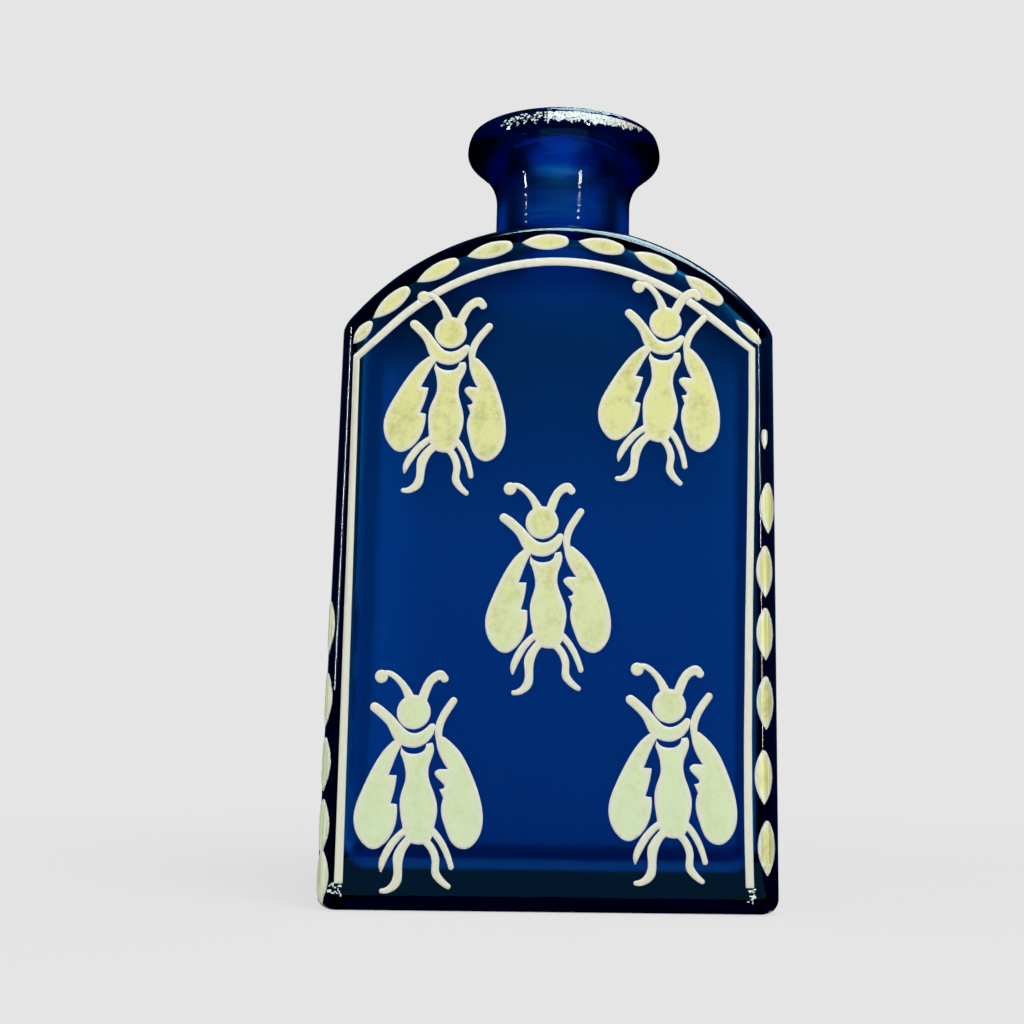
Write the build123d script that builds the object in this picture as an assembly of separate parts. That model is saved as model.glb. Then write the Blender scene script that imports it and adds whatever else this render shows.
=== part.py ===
from build123d import *
import math
import os

# Poison bottle of cobalt glass: a flat slab of a body under an arch, a short neck, a rounded lip laid
# on as its own gather of glass, and fired enamel on the front. Millimetres, +Z up, the origin at the
# middle of the base, the decorated face towards -Y.

# Body
body_width = 88.0
body_depth = 44.0
body_side_height = 114.0
arch_rise = 22.7
corner_radius = 3.8
arch_edge_radius = 3.1
heel_radius = 3.0

# Glass thickness and the hollow inside
wall = 3.6
base_thickness = 7.0
inner_corner_radius = 5.5
inner_edge_radius = 5.5
inner_heel_radius = 6.0

# Hollow under the base
bearing_rim = 6.5
base_recess = 1.2
recess_edge_radius = 1.0

# Neck
neck_radius = 14.7
neck_length = 10.5
neck_root_radius = 1.8
bore_radius = 9.8
inner_shoulder_radius = 3.0

# Lip: the cove under it is a share of the widest one that its overhang leaves room for
lip_radius = 21.4
lip_belly_height = 11.9
lip_height = 15.3
lip_top_radius = 20.6
lip_edge_radius = 0.7
lip_roll_radius = 2.4
cove_share = 0.95503
mouth_edge_radius = 1.2

# Enamel
enamel_thickness = 0.25

# Border line: its outer edge's distances from the sides, the shoulders and the crown, and its widths
line_foot_height = 5.2
left_foot_margin = 3.8
left_corner_margin = 2.8
left_corner_drop = 6.4
right_upright_margins = (4.9, 5.3, 4.5, 4.0)
right_upright_shares = (0, 0.26, 0.66, 0.966)
line_crown_drop = 7.9
line_crown_inset = 5.7
line_foot_width = 1.6
line_corner_width = 1.3
line_crown_width = 1.65

# Leaf beads over the arch: their places as shares of the arch's half angle, a leaf's length as a share
# of the pitch, and the shoulder beads' lengths up to where a leaf's two sides would meet
arch_bead_count = 7
arch_bead_pitch_share = 0.2445
arch_bead_start_share = -0.781
arch_bead_length_share = 0.945
arch_bead_width = 3.3
arch_bead_inset = 4.5
arch_bead_end_radius = 1.1
left_shoulder_bead_length = 6.2
left_shoulder_bead_width = 2.5
left_shoulder_bead_share = -0.969
left_shoulder_bead_lean = 0
right_shoulder_bead_length = 8.0
right_shoulder_bead_width = 2.0
right_shoulder_bead_share = 0.949
right_shoulder_bead_lean = -7

# Leaf beads wrapped over the two front corners: heights as shares of the side's height, and how far
# each faces round the corner from the front, in degrees
edge_bead_length = 10.6
edge_bead_width = 3.6
edge_bead_end_radius = 0.6
top_bead_length = 5.0
top_bead_width = 1.4
right_bead_shares = (0.807, 0.683, 0.572, 0.465, 0.349, 0.226, 0.111)
right_bead_degrees = (24, 34, 22, 21, 20, 12, 20)
left_bead_shares = (0.468, 0.346, 0.239, 0.137, 0.055)
left_bead_degrees = (66, 62, 57, 52, 47)

# Bees: the drawing's height, the middle of each head as shares of half the width and of the side's
# height, how far the bottom bees stand in from the sides and the top ones above the shoulders, and each
# bee's lean to the right in degrees
bee_height = 42.0
bee_place_shares = {
    "bee_top_left": (-0.493, 1),
    "bee_top_right": (0.496, 1),
    "bee_middle": (-0.055, 0.650),
    "bee_bottom_left": (-1, 0.325),
    "bee_bottom_right": (1, 0.340),
}
bottom_bee_insets = {"bee_bottom_left": 17.6, "bee_bottom_right": -21.2}
top_bee_rises = {"bee_top_left": -1.368, "bee_top_right": 1.254}
bee_lean_degrees = {
    "bee_top_left": 2.2,
    "bee_top_right": 4.1,
    "bee_middle": -4.0,
    "bee_bottom_left": -4.0,
    "bee_bottom_right": -1.7,
}

# The bee's outlines, as shares of its height, from the middle of the head
head_radius_share = 0.0775
left_antenna_shares = ((-0.014, 0.052), (-0.039, 0.116), (-0.071, 0.157), (-0.105, 0.181), (-0.140, 0.176))
left_antenna_width_shares = (0.050, 0.033, 0.027, 0.026, 0.030)
antenna_bulb_share = 0.030
antenna_bulb_place_shares = (-0.143, 0.170)
right_antenna_shares = ((0.040, 0.052), (0.067, 0.114), (0.098, 0.150), (0.126, 0.160), (0.146, 0.144))
right_antenna_width_shares = (0.042, 0.042, 0.042, 0.044, 0.038)
collar_shares = ((-0.178, 0.033), (-0.140, 0.001), (-0.099, -0.046), (-0.072, -0.090),
                 (-0.037, -0.119), (0.007, -0.127), (0.048, -0.110), (0.081, -0.073))
collar_width_shares = (0.042, 0.045, 0.049, 0.064, 0.066, 0.064, 0.054, 0.034)
left_wing_shares = (
    ((-0.060, -0.105), (-0.129, -0.150), (-0.191, -0.231), (-0.254, -0.348), (-0.286, -0.439),
     (-0.280, -0.513), (-0.249, -0.567), (-0.203, -0.596), (-0.155, -0.577), (-0.114, -0.528),
     (-0.093, -0.463), (-0.090, -0.406)),
    ((-0.119, -0.400), (-0.096, -0.329), (-0.087, -0.278)),
    ((-0.124, -0.274), (-0.103, -0.229), (-0.074, -0.168), (-0.055, -0.140)),
)
right_foreleg_shares = ((0.184, 0.040), (0.149, -0.005), (0.122, -0.051), (0.111, -0.125))
right_foreleg_width_shares = (0.034, 0.036, 0.036, 0.032)
right_wing_shares = (
    ((0.097, -0.128), (0.125, -0.117), (0.156, -0.137), (0.204, -0.191), (0.251, -0.287),
     (0.292, -0.430), (0.295, -0.503), (0.268, -0.581), (0.209, -0.620), (0.157, -0.595),
     (0.126, -0.527), (0.109, -0.460), (0.121, -0.391)),
    ((0.104, -0.352), (0.128, -0.342), (0.086, -0.281), (0.108, -0.262)),
    ((0.147, -0.265), (0.117, -0.213), (0.101, -0.165)),
)
trunk_shares = (
    ((-0.062, -0.152), (-0.036, -0.181), (-0.002, -0.188), (0.032, -0.181), (0.052, -0.146)),
    ((0.080, -0.142), (0.086, -0.178), (0.062, -0.244), (0.059, -0.301), (0.081, -0.372),
     (0.091, -0.446), (0.074, -0.521), (0.055, -0.572), (0.003, -0.588), (-0.048, -0.566),
     (-0.067, -0.510), (-0.077, -0.437), (-0.071, -0.364), (-0.048, -0.298), (-0.050, -0.238),
     (-0.067, -0.182)),
)
hind_leg_shares = {
    "outer_left": ((-0.054, -0.522), (-0.104, -0.562), (-0.151, -0.628), (-0.168, -0.668), (-0.171, -0.694)),
    "inner_left": ((-0.040, -0.562), (-0.070, -0.595), (-0.092, -0.640), (-0.095, -0.693), (-0.102, -0.739),
                   (-0.131, -0.770), (-0.170, -0.779)),
    "inner_right": ((0.036, -0.578), (0.065, -0.619), (0.076, -0.666), (0.073, -0.712), (0.095, -0.749),
                    (0.128, -0.778)),
    "outer_right": ((0.060, -0.526), (0.103, -0.583), (0.131, -0.646), (0.144, -0.694)),
}
hind_leg_width_shares = {
    "outer_left": (0.031, 0.033, 0.034, 0.026, 0.008),
    "inner_left": (0.038, 0.041, 0.047, 0.038, 0.041, 0.032, 0.022),
    "inner_right": (0.034, 0.034, 0.034, 0.036, 0.031, 0.023),
    "outer_right": (0.031, 0.030, 0.027, 0.025),
}

# How far a cutting body runs past what it cuts
overrun = 2.0

# Worked out from the sizes above
crown_height = body_side_height + arch_rise
arch_radius = ((body_width / 2) ** 2 + arch_rise**2) / (2 * arch_rise)
arch_centre_height = crown_height - arch_radius
arch_half_angle = math.degrees(math.asin(body_width / 2 / arch_radius))
seat_height = crown_height + neck_length
mouth_height = seat_height + lip_height
front = Plane.XZ.offset(body_depth / 2)


def arched_slab(width, depth, floor, crown_radius, corner, top_edge, bottom_edge):
    """A rectangular slab with round upright corners, standing at a height, under the body's arch."""
    plan = Plane.XY.offset(floor) * RectangleRounded(width, depth, corner)
    prism = extrude(plan, amount=arch_centre_height + crown_radius - floor + overrun)
    below = Pos(0, floor / 2) * Rectangle(2 * crown_radius, 2 * arch_centre_height - floor)
    arch = Plane.XZ * (Pos(0, arch_centre_height) * Circle(crown_radius) + below)
    slab = prism & extrude(arch, amount=depth / 2 + overrun, both=True)
    crown = slab.faces().filter_by(GeomType.CYLINDER).sort_by(Axis.Z)[-1]
    slab = fillet(crown.edges(), top_edge)
    return fillet(slab.faces().sort_by(Axis.Z)[0].edges(), bottom_edge)


def glass_outside(grown_by=0):
    """The body's outer form, or the same form grown evenly on all sides."""
    return arched_slab(
        body_width + 2 * grown_by,
        body_depth + 2 * grown_by,
        -grown_by,
        arch_radius + grown_by,
        corner_radius + grown_by,
        arch_edge_radius + grown_by,
        heel_radius + grown_by,
    )


def hollow():
    """The space inside: a slab one wall smaller, opening through a round shoulder into the bore."""
    inner_depth = body_depth - 2 * wall
    space = arched_slab(
        body_width - 2 * wall,
        inner_depth,
        base_thickness,
        arch_radius - wall,
        inner_corner_radius,
        inner_edge_radius,
        inner_heel_radius,
    )
    ceiling = arch_centre_height + arch_radius - wall
    bore = Pos(0, 0, arch_centre_height) * Cylinder(
        bore_radius, seat_height + overrun - arch_centre_height, align=(Align.CENTER, Align.CENTER, Align.MIN)
    )
    space = space + bore
    rim = [e for e in space.edges() if on_bore(e) and ceiling - wall < e.center().Z < ceiling + wall]
    return fillet(rim, inner_shoulder_radius)


def on_bore(edge):
    """Whether an edge runs round the bore's wall."""
    point = edge @ 0
    return abs(math.hypot(point.X, point.Y) - bore_radius) < bore_radius / 100


def base_hollow():
    """The shallow recess that leaves the bottle standing on a rim."""
    outline = RectangleRounded(
        body_width - 2 * bearing_rim, body_depth - 2 * bearing_rim, corner_radius
    )
    block = extrude(Plane.XY.offset(-overrun) * outline, amount=overrun + base_recess)
    return fillet(block.faces().sort_by(Axis.Z)[-1].edges(), recess_edge_radius)


def bottle_body():
    """Body, shoulder and neck, blown in one."""
    outside = glass_outside()
    neck = Pos(0, 0, arch_centre_height) * Cylinder(
        neck_radius, seat_height - arch_centre_height, align=(Align.CENTER, Align.CENTER, Align.MIN)
    )
    glass = outside + neck
    root = [
        e
        for e in glass.edges()
        if abs(math.hypot((e @ 0).X, (e @ 0).Y) - neck_radius) < neck_radius / 100
        and e.center().Z < crown_height + neck_length / 2
    ]
    glass = fillet(root, neck_root_radius)
    return glass - hollow() - base_hollow()


def lip_collar():
    """The lip: a long cove flares out of the neck into a thin rolled rim, flat on top round the mouth."""
    overhang = lip_radius - neck_radius
    widest_cove = (overhang**2 + lip_belly_height**2) / (2 * overhang) - lip_roll_radius
    cove_radius = cove_share * widest_cove
    cove_centre = neck_radius + cove_radius
    roll_centre = lip_radius - lip_roll_radius
    reach = math.hypot(cove_centre - roll_centre, lip_belly_height)
    rise = math.atan2(lip_belly_height, cove_centre - roll_centre)
    flare = rise - math.acos((cove_radius + lip_roll_radius) / reach)
    across, along = math.cos(flare), math.sin(flare)
    belly_height = seat_height + lip_belly_height
    cove_end = (cove_centre - cove_radius * across, seat_height + cove_radius * along)
    roll_start = (roll_centre + lip_roll_radius * across, belly_height - lip_roll_radius * along)
    profile = [
        Line((bore_radius, seat_height), (neck_radius, seat_height)),
        TangentArc((neck_radius, seat_height), cove_end, tangent=(0, 1)),
        Line(cove_end, roll_start),
        TangentArc(roll_start, (lip_radius, belly_height), tangent=(along, across)),
        TangentArc((lip_radius, belly_height), (lip_top_radius, mouth_height), tangent=(0, 1)),
        Line((lip_top_radius, mouth_height), (bore_radius, mouth_height)),
        Line((bore_radius, mouth_height), (bore_radius, seat_height)),
    ]
    ring = revolve(Plane.XZ * make_face(profile), Axis.Z)
    brim = ring.faces().sort_by(Axis.Z)[-1].edges().sort_by(SortBy.RADIUS)[-1]
    ring = fillet(brim, lip_edge_radius)
    mouth = [e for e in ring.edges() if on_bore(e) and e.center().Z > mouth_height - mouth_edge_radius]
    return fillet(mouth, mouth_edge_radius)


def stroke(middle, widths):
    """A brush stroke: a ribbon along a smooth line, as wide as stated at each point, with round ends."""
    middle = [Vector(x, y) for x, y in middle]
    before = middle[:1] + middle[:-1]
    after = middle[1:] + middle[-1:]
    along = [(b - a).normalized() for a, b in zip(before, after)]
    left = [p + Vector(-t.Y, t.X) * w / 2 for p, t, w in zip(middle, along, widths)]
    right = [p - Vector(-t.Y, t.X) * w / 2 for p, t, w in zip(middle, along, widths)]
    first = middle[0] - along[0] * widths[0] / 2
    last = middle[-1] + along[-1] * widths[-1] / 2
    outline = [
        Spline(left),
        ThreePointArc(left[-1], last, right[-1]),
        Spline(right[::-1]),
        ThreePointArc(right[0], first, left[0]),
    ]
    return make_face(outline)


def sized(shares):
    """Points of the bee, from shares to millimetres."""
    return [(x * bee_height, y * bee_height) for x, y in shares]


def bee_stroke(shares, width_shares):
    """A stroke of the bee, given in shares of its height."""
    return stroke(sized(shares), [w * bee_height for w in width_shares])


def bee_patch(runs):
    """A closed patch whose runs are smooth and meet at sharp nicks."""
    runs = [sized(run) for run in runs]
    outline = []
    for run, following in zip(runs, runs[1:] + runs[:1]):
        outline.append(Spline(run))
        outline.append(Line(run[-1], following[0]))
    return make_face(outline)


def bee_drawing():
    """The bee's four patches, flat, with the middle of the head at the origin."""
    bulb_x, bulb_y = sized([antenna_bulb_place_shares])[0]
    head = (
        Circle(head_radius_share * bee_height)
        + bee_stroke(left_antenna_shares, left_antenna_width_shares)
        + Pos(bulb_x, bulb_y) * Circle(antenna_bulb_share * bee_height)
        + bee_stroke(right_antenna_shares, right_antenna_width_shares)
    )
    left_wing = bee_patch(left_wing_shares) + bee_stroke(collar_shares, collar_width_shares)
    right_wing = bee_patch(right_wing_shares) + bee_stroke(right_foreleg_shares, right_foreleg_width_shares)
    trunk = bee_patch(trunk_shares)
    for leg, shares in hind_leg_shares.items():
        trunk = trunk + bee_stroke(shares, hind_leg_width_shares[leg])
    return {"head": head, "left_wing": left_wing, "right_wing": right_wing, "trunk": trunk}


def leaf(length, width, end_radius):
    """A leaf bead, pointed on the left and blunt on the right, lying along X."""
    tip = (-length / 2, 0)
    end = (length / 2, 0)
    outline = make_face(
        [ThreePointArc(tip, (0, width / 2), end), ThreePointArc(end, (0, -width / 2), tip)]
    )
    return fillet(outline.vertices().sort_by(Axis.X)[-1], end_radius)


def panel_outline(foot_inset, corner_inset, crown_inset):
    """The panel inside the border's outer edge or, set in, inside its inner edge; it runs to the base."""
    half = body_width / 2
    top = crown_height - line_crown_drop - crown_inset
    radius = arch_radius - line_crown_inset - crown_inset
    left_foot = (left_foot_margin + foot_inset - half, 0)
    left_corner = (
        left_corner_margin + corner_inset - half,
        body_side_height - left_corner_drop - corner_inset / 2,
    )
    uprights = []
    for margin, share in zip(right_upright_margins, right_upright_shares):
        inset = foot_inset + (corner_inset - foot_inset) * share
        uprights.append((half - margin - inset, share * body_side_height))
    right_corner = (uprights[-1][0], uprights[-1][1] - corner_inset / 2)
    left_touch = tangent_point(left_corner, radius, top - radius, -1)
    right_touch = tangent_point(right_corner, radius, top - radius, 1)
    edges = [
        Line(left_foot, left_corner),
        Line(left_corner, left_touch),
        ThreePointArc(left_touch, (0, top), right_touch),
        Line(right_touch, right_corner),
        Spline(right_corner, *uprights[-2::-1]),
        Line(uprights[0], left_foot),
    ]
    return make_face(edges)


def border_outline():
    """The line round the panel: two uprights, straight flanks and a round crown, open at the bottom."""
    outer = panel_outline(0, 0, 0)
    inner = panel_outline(line_foot_width, line_corner_width, line_crown_width)
    foot = Rectangle(body_width, line_foot_height, align=(Align.CENTER, Align.MIN))
    return outer - inner - foot


def tangent_point(corner, radius, centre_height, side):
    """Where a line from a corner touches a crown of the given radius."""
    reach = math.hypot(corner[0], corner[1] - centre_height)
    bearing = math.atan2(corner[1] - centre_height, corner[0])
    angle = bearing + side * math.acos(radius / reach)
    return (radius * math.cos(angle), centre_height + radius * math.sin(angle))


def enamel(outline, skin):
    """Enamel of a flat outline, lying on the front and following the glass over its rounded edges."""
    block = extrude(front.offset(overrun) * outline, amount=-(overrun + corner_radius))
    return skin & block


def on_arch(bead, share, lean=0):
    """A bead moved along the arch from its middle, and leant from the arch's own direction."""
    turn = share * arch_half_angle
    place = Pos(0, arch_centre_height) * Rot(0, 0, -turn) * Pos(0, arch_radius - arch_bead_inset)
    return place * Rot(0, 0, -lean) * bead


def arch_bead_outlines():
    """The leaves over the arch, and a squeezed one at each shoulder."""
    pitch = math.radians(arch_bead_pitch_share * arch_half_angle) * (arch_radius - arch_bead_inset)
    bead = leaf(arch_bead_length_share * pitch, arch_bead_width, arch_bead_end_radius)
    shares = [arch_bead_start_share + n * arch_bead_pitch_share for n in range(arch_bead_count)]
    left = leaf(left_shoulder_bead_length, left_shoulder_bead_width, edge_bead_end_radius)
    right = leaf(right_shoulder_bead_length, right_shoulder_bead_width, edge_bead_end_radius)
    return [on_arch(bead, share) for share in shares] + [
        on_arch(left, left_shoulder_bead_share, left_shoulder_bead_lean),
        on_arch(right, right_shoulder_bead_share, right_shoulder_bead_lean),
    ]


def edge_bead(height, length, width, side, degrees, skin):
    """A leaf that lies over an upright corner, facing a direction turned from the front."""
    angle = math.radians(degrees)
    facing = Plane(
        origin=(side * (body_width / 2 - corner_radius), corner_radius - body_depth / 2, height),
        x_dir=(math.cos(angle), side * math.sin(angle), 0),
        z_dir=(side * math.sin(angle), -math.cos(angle), 0),
    )
    upright = Rot(0, 0, 90) * leaf(length, width, edge_bead_end_radius)
    return skin & extrude(facing * upright, amount=corner_radius + overrun)


def edge_beads(shares, angles, side, skin):
    """A row of leaves down one corner."""
    return [
        edge_bead(share * body_side_height, edge_bead_length, edge_bead_width, side, degrees, skin)
        for share, degrees in zip(shares, angles)
    ]


def decoration():
    """All the enamel, each patch cut back where the bees' strokes cross the border."""
    skin = glass_outside(enamel_thickness) - glass_outside()
    drawing = bee_drawing()
    nodes = {}
    for bee, (x_share, z_share) in bee_place_shares.items():
        x = x_share * body_width / 2 + bottom_bee_insets.get(bee, 0)
        z = z_share * body_side_height + top_bee_rises.get(bee, 0)
        place = Pos(x, z) * Rot(0, 0, -bee_lean_degrees[bee])
        for patch, outline in drawing.items():
            nodes[f"{bee}_{patch}"] = enamel(place * outline, skin)
    crossing = [nodes["bee_top_left_head"], nodes["bee_top_right_head"], nodes["bee_top_right_right_wing"]]
    arch = [enamel(outline, skin) - crossing for outline in arch_bead_outlines()]
    top_height = right_bead_shares[0] * body_side_height
    top = edge_bead(top_height, top_bead_length, top_bead_width, 1, right_bead_degrees[0], skin)
    right = [top] + edge_beads(right_bead_shares[1:], right_bead_degrees[1:], 1, skin)
    left = edge_beads(left_bead_shares, left_bead_degrees, -1, skin)
    nodes["border_line"] = enamel(border_outline(), skin) - crossing
    nodes["arch_beads"] = group(arch)
    nodes["right_edge_beads"] = group(right)
    nodes["left_edge_beads"] = group(left)
    return nodes


def group(pieces):
    """Separate solids kept together as one node."""
    return Compound([solid for piece in pieces for solid in piece.solids()])


def main():
    nodes = {"bottle_body": bottle_body(), "lip_collar": lip_collar(), **decoration()}
    os.makedirs("parts", exist_ok=True)
    for name, shape in nodes.items():
        export_step(shape, f"parts/{name}.step")
        print(name, len(shape.solids()), round(shape.volume, 2))


main()
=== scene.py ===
# %% [markdown]
# # A cobalt poison bottle with enamel bees
# The real object is a flat pharmacy bottle: deep blue glass blown in a mould, a lip laid on the neck and
# tooled while hot, and a decoration of pale enamel fired on the front. The CAD model gives every size, so
# this lesson only dresses it. Lengths are in metres, the bottle stands on z = 0 and its front looks
# towards -Y.

import math

import bpy
from mathutils import Matrix, Vector, noise
from mathutils.bvhtree import BVHTree
from mathutils.kdtree import KDTree


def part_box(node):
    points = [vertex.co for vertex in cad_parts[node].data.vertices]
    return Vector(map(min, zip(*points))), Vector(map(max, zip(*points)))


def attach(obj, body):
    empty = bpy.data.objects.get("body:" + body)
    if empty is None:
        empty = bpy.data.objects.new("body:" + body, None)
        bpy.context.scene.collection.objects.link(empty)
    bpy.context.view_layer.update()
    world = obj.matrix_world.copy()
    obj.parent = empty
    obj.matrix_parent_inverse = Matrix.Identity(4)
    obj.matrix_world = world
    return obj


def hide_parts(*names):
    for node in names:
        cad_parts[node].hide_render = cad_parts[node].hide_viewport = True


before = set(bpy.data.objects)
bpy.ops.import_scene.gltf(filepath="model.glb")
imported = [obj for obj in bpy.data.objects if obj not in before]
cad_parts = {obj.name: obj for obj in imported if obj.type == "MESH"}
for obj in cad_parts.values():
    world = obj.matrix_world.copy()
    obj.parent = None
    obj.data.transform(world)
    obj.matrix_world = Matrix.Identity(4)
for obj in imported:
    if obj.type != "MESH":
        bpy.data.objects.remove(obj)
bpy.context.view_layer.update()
mm = 0.001
bpy.context.scene.view_settings.view_transform = "Standard"
print("CAD nodes:", len(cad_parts))

# %% [markdown]
# ## The camera
# The camera stands low, about 30 cm in front of the bottle, and looks up a little, so the body narrows
# towards the top and the lip is seen from below. Its place and lens were found by matching the CAD
# outline to the photograph. The picture is 1024 pixels square, and its centre is off the lens axis, which
# the two shifts repeat.

# %% Place the camera
picture = 1024
focal_pixels = 1449.3
optical_centre = (603.5, 435.2)
sensor_width = 36
camera_place = Vector((8.76, -306.51, 36.24)) * mm
yaw, pitch, roll = (math.radians(angle) for angle in (-0.151, 11.064, 0.686))

ahead = Vector((-math.sin(yaw) * math.cos(pitch), math.cos(yaw) * math.cos(pitch), math.sin(pitch)))
level = Vector((math.cos(yaw), math.sin(yaw), 0))
upright = level.cross(ahead)
right = level * math.cos(roll) + upright * math.sin(roll)
up = upright * math.cos(roll) - level * math.sin(roll)

bpy.ops.object.select_all(action="DESELECT")
bpy.ops.object.camera_add()
camera = bpy.context.object
camera.data.sensor_width = sensor_width
camera.data.lens = sensor_width * focal_pixels / picture
camera.data.shift_x = 0.5 - optical_centre[0] / picture
camera.data.shift_y = optical_centre[1] / picture - 0.5
camera.data.clip_start = 10 * mm
camera.matrix_world = Matrix.Translation(camera_place) @ Matrix((right, up, -ahead)).transposed().to_4x4()
bpy.context.scene.camera = camera
print("lens", round(camera.data.lens, 2), "mm")

# %% [markdown]
# ## Tools for the bench
# Modelling by hand means selecting some vertices, edges or faces and then using an operator on them. Two
# helpers do the selecting, of whole pieces and of places on one piece. A third copies a CAD node: its mesh
# is loose triangles, so the copy has its doubles merged before anything else is done to it. The last one
# shades a piece.

# %% Select, copy and shade
merge_distance = 0.002 * mm


def alone(*pieces):
    """Leave edit mode and select these pieces only, the first one active."""
    if bpy.context.object and bpy.context.object.mode != "OBJECT":
        bpy.ops.object.mode_set(mode="OBJECT")
    bpy.ops.object.select_all(action="DESELECT")
    for piece in pieces:
        piece.select_set(True)
    bpy.context.view_layer.objects.active = pieces[0]


def edit(piece, kind, wanted):
    """Open a piece in edit mode with only the wanted vertices, edges or polygons selected."""
    alone(piece)
    for things in (piece.data.vertices, piece.data.edges, piece.data.polygons):
        things.foreach_set("select", [False] * len(things))
    for thing in getattr(piece.data, kind):
        if wanted(thing):
            thing.select = True
    kinds = ("vertices", "edges", "polygons")
    bpy.context.tool_settings.mesh_select_mode = [kind == name for name in kinds]
    bpy.ops.object.mode_set(mode="EDIT")


def copy_of(node, name):
    """A copy of a CAD node as a piece of its own, with its triangles merged into one skin."""
    piece = bpy.data.objects.new(name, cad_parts[node].data.copy())
    bpy.context.collection.objects.link(piece)
    piece.data.materials.clear()
    edit(piece, "polygons", lambda face: True)
    bpy.ops.mesh.select_all(action="SELECT")
    bpy.ops.mesh.remove_doubles(threshold=merge_distance)
    alone(piece)
    return piece


def smooth(piece, degrees):
    """Shade a piece smooth, but keep the edges that are sharper than this angle."""
    alone(piece)
    bpy.ops.object.shade_smooth_by_angle(angle=math.radians(degrees))


# %% [markdown]
# ## Materials from plain facts
# Colours are written as sRGB hex values, and one function turns them to the linear numbers that the
# nodes use. Another adds any node with its settings and links. Object coordinates are in metres, so a
# noise whose pattern is so many mm long gets a scale of 1 over that length.

# %% Colour and node helpers
def linear(hex_value):
    """A hex sRGB colour as linear red, green and blue, with an alpha of 1."""
    parts = [int(hex_value[i : i + 2], 16) / 255 for i in (0, 2, 4)]
    return [p / 12.92 if p <= 0.04045 else ((p + 0.055) / 1.055) ** 2.4 for p in parts] + [1.0]


def add_node(tree, kind, settings=None, inputs=None):
    """Add a node, set its properties, and give its inputs a value or a link from another socket."""
    node = tree.nodes.new(kind)
    for name, value in (settings or {}).items():
        setattr(node, name, value)
    for socket, value in (inputs or {}).items():
        if isinstance(value, bpy.types.NodeSocket):
            tree.links.new(value, node.inputs[socket])
        else:
            node.inputs[socket].default_value = value
    return node


def new_material(name):
    """A fresh material with its Principled shader."""
    material = bpy.data.materials.new(name)
    material.use_nodes = True
    return material, material.node_tree, material.node_tree.nodes["Principled BSDF"]


print("hex 808080 is linear", [round(part, 3) for part in linear("808080")])

# %% [markdown]
# ## One skin of glass
# The body with its neck and the lip are two gathers of the same glass, and the hot lip fused to the neck,
# so light passes from one to the other without meeting a surface. Two closed meshes that touch would
# show a false mirror in between. So the neck's end face and the lip's under face are removed, and the
# open loops that they leave are bridged, inside along the bore and outside along the neck.

# %% Open the neck's end and the lip's seat
glass = copy_of("bottle_body", "bottle_glass")
lip = copy_of("lip_collar", "lip_glass")
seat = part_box("lip_collar")[0].z
seat_margin = 0.01 * mm

edit(glass, "vertices", lambda v: v.co.z > seat - seat_margin)
bpy.ops.mesh.delete(type="VERT")
edit(lip, "polygons", lambda f: all(lip.data.vertices[i].co.z < seat + seat_margin for i in f.vertices))
bpy.ops.mesh.delete(type="ONLY_FACE")
alone(glass, lip)
bpy.ops.object.join()

edit(glass, "edges", lambda e: False)
bpy.ops.mesh.select_non_manifold(
    extend=False,
    use_wire=False,
    use_boundary=True,
    use_multi_face=False,
    use_non_contiguous=False,
    use_verts=False,
)
alone(glass)
open_edges = {e.index for e in glass.data.edges if e.select}
print("open edges", len(open_edges))

# %% Bridge the open loops
between_walls = 12.2 * mm


def outside(edge):
    """Whether an edge lies on the outer of the two loops."""
    return glass.data.vertices[edge.vertices[0]].co.xy.length > between_walls


# The first bridge renumbers the edges, so the inner loops are found again by their ends.
outer_loops = {i for i in open_edges if outside(glass.data.edges[i])}
inner_loops = {frozenset(glass.data.edges[i].vertices) for i in open_edges - outer_loops}
edit(glass, "edges", lambda e: e.index in outer_loops)
bpy.ops.mesh.bridge_edge_loops()
edit(glass, "edges", lambda e: frozenset(e.vertices) in inner_loops)
bpy.ops.mesh.bridge_edge_loops()
bpy.ops.mesh.select_all(action="SELECT")
bpy.ops.mesh.normals_make_consistent(inside=False)
alone(glass)
print("glass faces", len(glass.data.polygons))

# %% [markdown]
# ## The inner wall
# Glass that is blown out into a mould ends up thinnest where it has to reach furthest, which is under the
# crown. There the hollow's edge is drawn up close to the outside, so that one sees through the glass up
# to the beads. Two attributes are kept for the material. One marks the whole inner wall, because it has a
# finish of its own. The other rises from 0 to 1 over the rounded edge under the arch, where the material
# paints the darkest shade.

# %% Mark the inner wall
# Two corners between which the hollow lies, and a radius between the hollow's arch and the body's.
hollow_low = Vector((-41.0, -19.0, 6.5)) * mm
hollow_high = Vector((41.0, 19.0, 134.0)) * mm
arch_centre = 82.7 * mm
between_arches = 52.2 * mm


def from_arch_centre(point):
    """The way from the middle of the arch to a point, level with the front."""
    return Vector((point.x, 0, point.z - arch_centre))


inner = glass.data.attributes.new("inner_wall", "FLOAT", "POINT")
inner_wall = []
for v in glass.data.vertices:
    out = from_arch_centre(v.co)
    under_arch = out.z < 0 or out.length < between_arches
    in_hollow = under_arch and all(hollow_low[k] < v.co[k] < hollow_high[k] for k in range(3))
    in_bore = v.co.z > hollow_high.z and v.co.xy.length < between_walls
    inner.data[v.index].value = float(in_hollow or in_bore)
    if in_hollow or in_bore:
        inner_wall.append(v.index)
print("vertices on the inner wall", len(inner_wall))

# %% Draw the hollow up under the crown
inner_arch_radius = 50.4 * mm
inner_edge_radius = 5.5 * mm
inner_half_depth = 18.4 * mm
edge_margin = 0.1 * mm
bore_foot = 137 * mm
shoulder_end = 13 * mm
drawn_up = 1.2 * mm
squareness = 5
# Over these distances along the hollow's upper edge the crown_edge share rises, and the material paints
# shade by it.
edge_shade_from, edge_shade_over = 2.2 * mm, 3 * mm

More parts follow.
